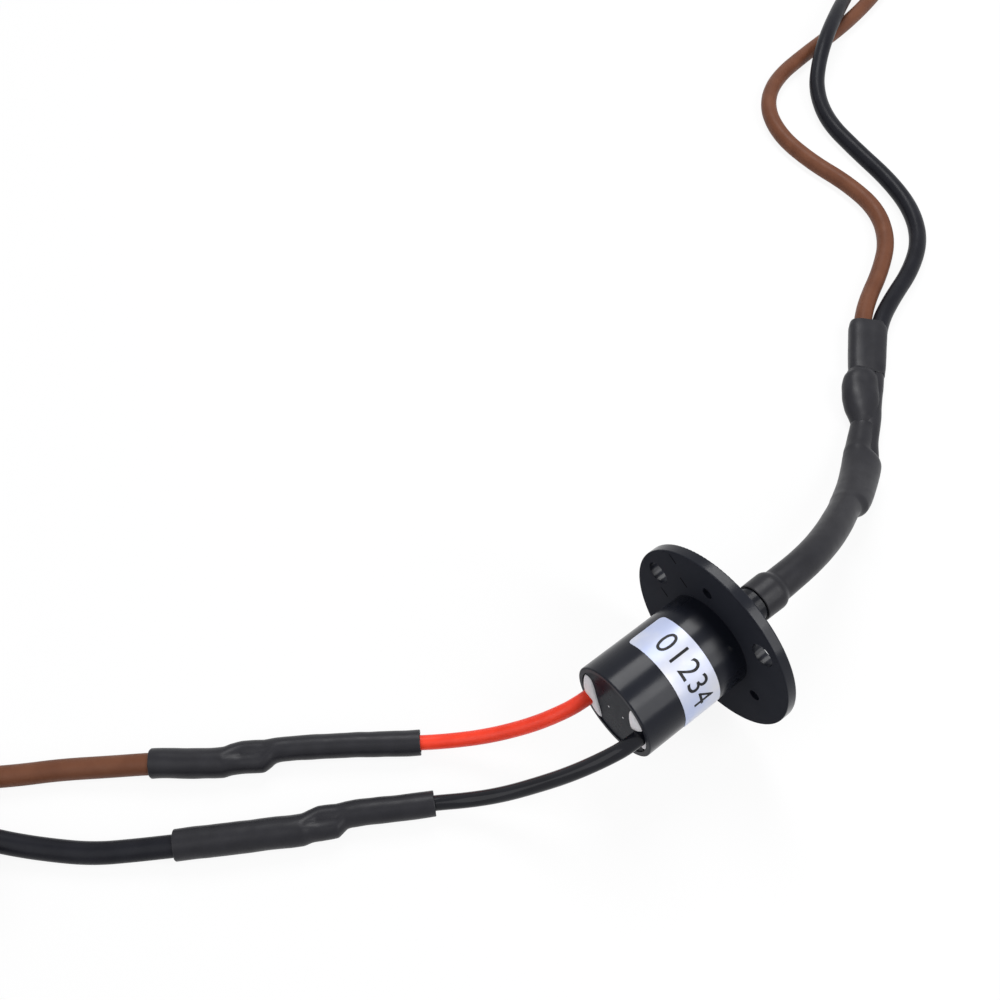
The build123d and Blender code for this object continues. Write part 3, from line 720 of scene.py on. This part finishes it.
blackRotorSplice = {
    "route": [
        (74.0, 14.6, -18.9), (77.2, 17.8, -18.9), (81.0, 21.0, -19.0), (89.5, 27.5, -19.4),
        (97.2, 33.6, -19.5), (100.6, 36.6, -19.6),
    ],
    "stations": [
        (0, 2.3, 2.3, 0, 0), (8, 2.35, 2.35, 0, 0), (14, 2.6, 2.5, 0, 0), (20, 2.4, 2.4, 0, 0),
        (28, 2.5, 2.6, 0, 0), (34, 2.3, 2.2, 0, 0),
    ],
    "around": 40, "step": 0.35, "square": 0.85, "wall": 0.5, "lip": 0.1, "mouth": 2.0,
    "crinkle": {"depth": 0.07, "size": 3.2, "seed": 23.0},
}
ovalSleeve = {
    "route": [
        (95.2, 34.7, -19.2), (99.4, 38.4, -19.2), (103.0, 41.5, -19.2), (106.0, 44.1, -19.2),
        (108.8, 46.6, -19.2),
    ],
    "stations": [
        (0, 4.7, 2.6, 0, 0.02), (2.5, 4.85, 2.86, 0, 0.04), (5, 4.95, 2.92, 0, 0.06),
        (12, 5.1, 2.95, 0, 0.08), (16, 5.15, 2.95, 0, 0.1), (18, 4.9, 2.85, 0, 0.12),
    ],
    "around": 56, "step": 0.35, "square": 0.74, "wall": 0.4, "lip": 0.16, "mouth": 3.0,
    "crinkle": {"depth": 0.06, "size": 3.6, "seed": 31.0},
}
brownRotorTail = {
    "route": [
        (104.2, 44.8, -19.3), (108.6, 48.4, -19.2), (115.8, 53.0, -19.6), (127.5, 58.4, -19.8),
        (138.3, 65.4, -19.8), (145.4, 76.0, -19.8), (146.6, 89.0, -19.8), (145.0, 102.0, -19.8),
        (146.0, 116.5, -19.8), (152.6, 129.0, -19.8), (164.6, 136.6, -19.8), (183.0, 139.6, -19.8),
        (202.5, 141.8, -19.8), (220.2, 145.9, -19.8), (236.5, 151.5, -19.8), (251.5, 160.3, -19.8),
        (264.8, 171.2, -19.8),
    ],
    "radius": 2.4, "length": 0.227, "replaces": "rotor_tail_brown", "slot": "tail_brown",
    "end": "rotor_tail_brown_end",
}
blackRotorTail = {
    "route": [
        (106.8, 41.2, -19.3), (111.3, 44.8, -19.2), (121.0, 48.9, -19.6), (134.6, 53.2, -19.8),
        (145.8, 59.7, -19.8), (153.4, 69.6, -19.8), (157.6, 82.0, -19.8), (159.7, 97.0, -19.8),
        (162.6, 112.0, -19.8), (170.2, 124.2, -19.3), (178.4, 131.4, -16.8), (187.0, 137.0, -14.2),
        (200.0, 144.0, -14.2), (212.6, 150.6, -17.0), (226.2, 158.8, -19.4), (240.0, 168.8, -19.8),
        (252.3, 180.4, -19.8), (262.6, 193.4, -19.8),
    ],
    "radius": 2.4, "length": 0.229, "replaces": "rotor_tail_black", "slot": "tail_black",
    "end": "rotor_tail_black_end",
}


def twistWithRotor(piece):
    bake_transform(piece)


def makeRotorSleeves():
    sleeve, line = loftSleeve("rotor_heat_shrink", rotorSleeve, finish["heat_shrink"])
    brown, _ = loftSleeve("brown_rotor_splice", brownSplice, finish["heat_shrink"])
    black, _ = loftSleeve("black_rotor_splice", blackRotorSplice, finish["heat_shrink"])
    oval, _ = loftSleeve("rotor_tails_heat_shrink", ovalSleeve, finish["heat_shrink"])
    stoodFor = ("rotor_sleeve", "rotor_splice_brown", "rotor_splice_black", "rotor_tail_sleeve")
    for piece, node in zip((sleeve, brown, black, oval), stoodFor):
        twistWithRotor(piece)
        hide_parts(node)


def makeRotorTail(name, tail):
    piece = makeTube(name, tail["route"], tail["radius"], finish[tail["slot"]])
    twistWithRotor(piece)
    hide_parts(tail["replaces"])
    tip, before = Vector(tail["route"][-1]), Vector(tail["route"][-2])
    core = makeCore(name + "_core", tip, (tip - before).normalized())
    twistWithRotor(core)
    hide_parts(tail["end"])
    line = readRoute(tail["route"])


makeRotorSleeves()
makeRotorTail("brown_rotor_tail", brownRotorTail)
makeRotorTail("black_rotor_tail", blackRotorTail)
print("rotor sleeves and tails made")

# Open end: the cover lies almost flush with the housing's rim
cover = {"node": "end_cover", "forward": 0.75, "faceDepth": 0.5, "crease": 35}


def makeCover():
    mesh = nodes[cover["node"]].data.copy()
    mesh.name = "cover_disc"
    build = bmesh.new()
    build.from_mesh(mesh)
    bmesh.ops.remove_doubles(build, verts=build.verts, dist=meshing["weld"])
    face = min(vertex.co.x for vertex in build.verts)
    for vertex in build.verts:
        if vertex.co.x < face + cover["faceDepth"] * mm:
            vertex.co.x -= cover["forward"] * mm
    build.to_mesh(mesh)
    build.free()
    wearFinish(mesh, finish["cover_plastic"])
    mesh.shade_smooth()
    mesh.set_sharp_from_angle(angle=math.radians(cover["crease"]))
    piece = linkPiece("cover_disc", mesh)
    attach(piece, "stator")
    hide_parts(cover["node"])
    return (face - cover["forward"] * mm) / mm


coverFace = makeCover()  # place along the axis, in millimetres
print("cover set")

# Sealant: domed beads in the gaps beside the cover
# An outline's points are given out from the axis and along the gap's chord, which has its own turn
beads = {
    "red_sealant": {
        "node": "lead_seal_red", "turn": -26.0, "dome": 1.0, "rise": 0.0, "middle": (7.5, 0.0),
        "seed": 3.0,
        "outline": [
            (7.3, 6.3), (5.4, 5.8), (5.5, 2.6), (5.7, -0.2), (5.9, -3.0), (6.0, -5.2), (6.4, -6.6),
            (7.2, -5.2), (8.6, -2.9), (9.4, 0.0), (9.0, 2.9), (8.1, 5.0),
        ],
    },
    "black_sealant": {
        "node": "lead_seal_black", "turn": 154.0, "dome": 0.75, "rise": 0.0, "middle": (7.8, -2.5),
        "seed": 8.0,
        "outline": [
            (7.6, -6.1), (6.5, -5.1), (5.8, -2.7), (5.4, -0.8), (5.5, 0.7), (6.9, 0.5), (8.4, -0.4),
            (9.5, -1.4), (9.3, -2.9), (8.7, -4.5),
        ],
    },
    "black_sealant_foot": {
        "node": "lead_seal_black", "turn": 154.0, "dome": 0.3, "rise": -0.1, "middle": (8.6, 4.0),
        "seed": 13.0,
        "outline": [
            (6.6, 4.3), (6.8, 6.0), (8.2, 5.4), (9.0, 4.0), (9.6, 2.6), (9.8, 1.2), (9.5, 1.2),
            (9.2, 2.7), (8.6, 3.3), (7.6, 3.7),
        ],
    },
}
# Rings up a bead, steps along its outline, hidden root, depth and size of its lumps
beadRings = {"up": 9, "along": 6, "root": 2.0, "sag": 0.12, "lump": 1.8}


def closedOutline(points):
    curve = bpy.data.curves.new("outline_guide", "CURVE")
    spline = curve.splines.new("NURBS")
    spline.points.add(len(points) - 1)
    for knot, place in zip(spline.points, points):
        knot.co = (*place, 0.0, 1.0)
    spline.order_u = routes["order"]
    spline.use_cyclic_u = True
    curve.resolution_u = beadRings["along"]
    mesh = bpy.data.meshes.new_from_object(linkPiece("outline_guide", curve))
    loop = [(vertex.co.x, vertex.co.y) for vertex in mesh.vertices]
    bpy.data.meshes.remove(mesh)
    bpy.data.curves.remove(curve)
    return loop


def makeBead(name, bead):
    loop = closedOutline(bead["outline"])
    turn = math.radians(bead["turn"])
    middle = bead["middle"]
    foot = coverFace - bead["rise"]

    def place(out, along, x):
        y = out * math.cos(turn) - along * math.sin(turn)
        z = out * math.sin(turn) + along * math.cos(turn)
        return (mm * x, mm * y, mm * z)

    verts = [place(out, along, foot + beadRings["root"]) for out, along in loop]
    for level in range(beadRings["up"]):
        lean = math.pi / 2 * level / beadRings["up"]
        for out, along in loop:
            out = middle[0] + (out - middle[0]) * math.cos(lean)
            along = middle[1] + (along - middle[1]) * math.cos(lean)
            spot = Vector((out / beadRings["lump"], along / beadRings["lump"], bead["seed"]))
            height = bead["dome"] + beadRings["sag"] * noise.noise(spot)
            verts.append(place(out, along, foot - height * math.sin(lean)))
    verts.append(place(*middle, foot - bead["dome"]))
    around = len(loop)
    faces = [tuple(range(around))] + bandFaces(beadRings["up"], around)
    top = len(verts) - 1
    last = top - around
    faces += [(last + step, last + (step + 1) % around, top) for step in range(around)]
    piece = addMesh(name, verts, faces, finish["sealant"])
    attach(piece, "stator")
    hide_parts(bead["node"])


for name, bead in beads.items():
    makeBead(name, bead)
print("sealant beads made")

# Plain digits round the label
digits = {
    "body": "01234", "size": 7.4, "narrow": 0.86, "spacing": 1.12, "middle": 117.0, "radius": 11.08,
    "thick": 0.025, "sunk": 0.01, "strip": 0.4, "curve": 10,
}


def makeDigits():
    low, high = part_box("label")
    middleX = (low.x + high.x) / 2
    radius = digits["radius"] * mm  # the label's outer face
    text = bpy.data.curves.new("digits_text", "FONT")
    text.body = digits["body"]
    text.size = digits["size"] * mm
    text.space_character = digits["spacing"]
    text.align_x = "CENTER"
    text.align_y = "CENTER"
    text.resolution_u = digits["curve"]
    mesh = bpy.data.meshes.new_from_object(linkPiece("digits_text", text))
    bpy.data.curves.remove(text)
    build = bmesh.new()
    build.from_mesh(mesh)
    reach = max(abs(vertex.co.x) for vertex in build.verts)
    cut = -reach
    while cut < reach:
        everything = build.verts[:] + build.edges[:] + build.faces[:]
        bmesh.ops.bisect_plane(build, geom=everything, plane_co=(cut, 0, 0), plane_no=(1, 0, 0))
        cut += digits["strip"] * mm
    bmesh.ops.triangulate(build, faces=build.faces)
    bmesh.ops.remove_doubles(build, verts=build.verts, dist=meshing["weld"])
    bmesh.ops.recalc_face_normals(build, faces=build.faces)
    for face in build.faces:
        if face.normal.z < 0:
            face.normal_flip()
    raised = bmesh.ops.extrude_face_region(build, geom=build.faces[:])
    lifted = {item for item in raised["geom"] if isinstance(item, bmesh.types.BMVert)}
    for vertex in build.verts:
        angle = math.radians(digits["middle"]) + digits["narrow"] * vertex.co.x / radius
        height = digits["thick"] if vertex in lifted else -digits["sunk"]
        reachOut = radius + height * mm
        vertex.co = (middleX + vertex.co.y, reachOut * math.cos(angle), reachOut * math.sin(angle))
    bmesh.ops.recalc_face_normals(build, faces=build.faces)
    build.to_mesh(mesh)
    build.free()
    wearFinish(mesh, finish["label_ink"])
    piece = linkPiece("label_digits", mesh)
    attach(piece, "stator")


makeDigits()
print("label digits made")

# Small marks: three short strokes of painted shade on the flange, standing in for the shade in its shallow
# grooves, and two small white domes in the sealant's finish on the cover
strokes = {
    "middles": [(14.2, 14.5), (10.0, 10.3), (14.05, 0.0)], "heading": (-0.92, -0.4),
    "length": 2.5, "width": 0.3, "proud": 0.02, "sunk": 0.05,
}
specks = {"middles": [(1.65, -0.3), (-2.44, 1.64)], "radius": 0.2, "proud": 0.12, "around": 16, "up": 10}


# Each stroke is a thin near-black box just proud of the flange face: painted shade for a shallow groove
def makeStrokes():
    heading = Vector((0, *strokes["heading"])).normalized()
    ahead = strokes["length"] / 2 * heading
    across = strokes["width"] / 2 * Vector((1, 0, 0)).cross(heading)
    verts, faces = [], []
    for y, z in strokes["middles"]:
        first = len(verts)
        for x in (-strokes["proud"], strokes["sunk"]):
            for along, wide in ((-1, -1), (1, -1), (1, 1), (-1, 1)):
                verts.append(tuple(mm * (Vector((x, y, z)) + along * ahead + wide * across)))
        for corners in ((0, 1, 2, 3), (4, 5, 6, 7), (0, 1, 5, 4), (1, 2, 6, 5), (2, 3, 7, 6), (3, 0, 4, 7)):
            faces.append(tuple(first + corner for corner in corners))
    piece = addMesh("flange_groove_shade_strokes", verts, faces, finish["painted_groove_shade"], smooth=False)
    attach(piece, "stator")


# Two small white domes in the sealant's finish, set on the cover's face
def makeSpecks():
    build = bmesh.new()
    flat = Matrix.Diagonal((specks["proud"] / specks["radius"], 1, 1, 1))
    for y, z in specks["middles"]:
        bmesh.ops.create_uvsphere(
            build, u_segments=specks["around"], v_segments=specks["up"], radius=mm * specks["radius"],
            matrix=Matrix.Translation((mm * coverFace, mm * y, mm * z)) @ flat,
        )
    mesh = bpy.data.meshes.new("white_cover_specks")
    build.to_mesh(mesh)
    build.free()
    mesh.materials.append(finish["sealant"])
    mesh.shade_smooth()
    piece = linkPiece("white_cover_specks", mesh)
    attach(piece, "stator")


makeStrokes()
makeSpecks()
print("marks made")

# Stage: a white floor that keeps a soft shadow, softboxes on both sides of the ring's axis, a wide fill
floorTone = {"size": 6.0, "color": (0.9, 0.9, 0.91, 1), "rough": 0.9, "glow": 0.9}
lamps = [
    {"name": "left_softbox", "place": (0.245, 0.34, 0.566), "size": (0.22, 0.39), "watts": 2.9},
    {"name": "right_softbox", "place": (0.245, -0.31, 0.583), "size": (0.22, 0.257), "watts": 1.75},
    {"name": "low_softbox", "place": (0.245, -0.537, 0.383), "size": (0.22, 0.37), "watts": 1.4},
    {"name": "front_fill", "place": (-0.6, 0.1, 0.6), "size": (0.8, 0.8), "watts": 2.9},
]
worldLight = 0.12


# The share given, on rays that show the stage to the eye, straight or by way of gloss and glass
def seenShare(tree, share):
    path = tree.nodes.new("ShaderNodeLightPath")
    rays = path.outputs["Is Camera Ray"]
    for other in ("Is Glossy Ray", "Is Transmission Ray"):
        either = tree.nodes.new("ShaderNodeMath")
        either.operation = "MAXIMUM"
        tree.links.new(rays, either.inputs[0])
        tree.links.new(path.outputs[other], either.inputs[1])
        rays = either.outputs["Value"]
    scaled = tree.nodes.new("ShaderNodeMath")
    scaled.operation = "MULTIPLY"
    scaled.inputs[1].default_value = share
    tree.links.new(rays, scaled.inputs[0])
    return scaled.outputs["Value"]


def makeFloor():
    half = floorTone["size"] / 2
    verts = [(-half, -half, tableZ), (half, -half, tableZ), (half, half, tableZ), (-half, half, tableZ)]
    sockets = {"Base_Color": floorTone["color"], "Roughness": floorTone["rough"]}
    material, tree, shader = startMaterial("floor_white", **sockets)
    glow = tree.nodes.new("ShaderNodeEmission")
    glow.inputs["Color"].default_value = (1, 1, 1, 1)
    mixed = tree.nodes.new("ShaderNodeMixShader")
    tree.links.new(seenShare(tree, floorTone["glow"]), mixed.inputs["Fac"])
    tree.links.new(shader.outputs["BSDF"], mixed.inputs[1])
    tree.links.new(glow.outputs["Emission"], mixed.inputs[2])
    tree.links.new(mixed.outputs["Shader"], tree.nodes["Material Output"].inputs["Surface"])
    floor = addMesh("floor", verts, [(0, 1, 2, 3)], material, smooth=False)


def makeLights():
    for lamp in lamps:
        data = bpy.data.lights.new(lamp["name"], "AREA")
        data.shape = "RECTANGLE"
        data.size, data.size_y = lamp["size"]
        data.energy = lamp["watts"]
        ahead = Vector(lamp["place"]).normalized()
        along = (Vector((1, 0, 0)) - ahead.x * ahead).normalized()  # first side runs with the ring's axis
        turn = Matrix((along, ahead.cross(along), ahead)).transposed()
        rig = linkPiece(lamp["name"], data)
        rig.matrix_world = Matrix.Translation(lamp["place"]) @ turn.to_4x4()
    world = bpy.data.worlds.new("studio")
    world.use_nodes = True
    tree = world.node_tree
    sky = tree.nodes["Background"]
    sky.inputs["Color"].default_value = (1, 1, 1, 1)
    strength = tree.nodes.new("ShaderNodeMath")
    strength.operation = "ADD"
    strength.inputs[1].default_value = worldLight
    tree.links.new(seenShare(tree, 1 - worldLight), strength.inputs[0])
    tree.links.new(strength.outputs["Value"], sky.inputs["Strength"])
    scene.world = world


makeFloor()
makeLights()
scene.view_settings.view_transform = "Standard"
print("stage lit")
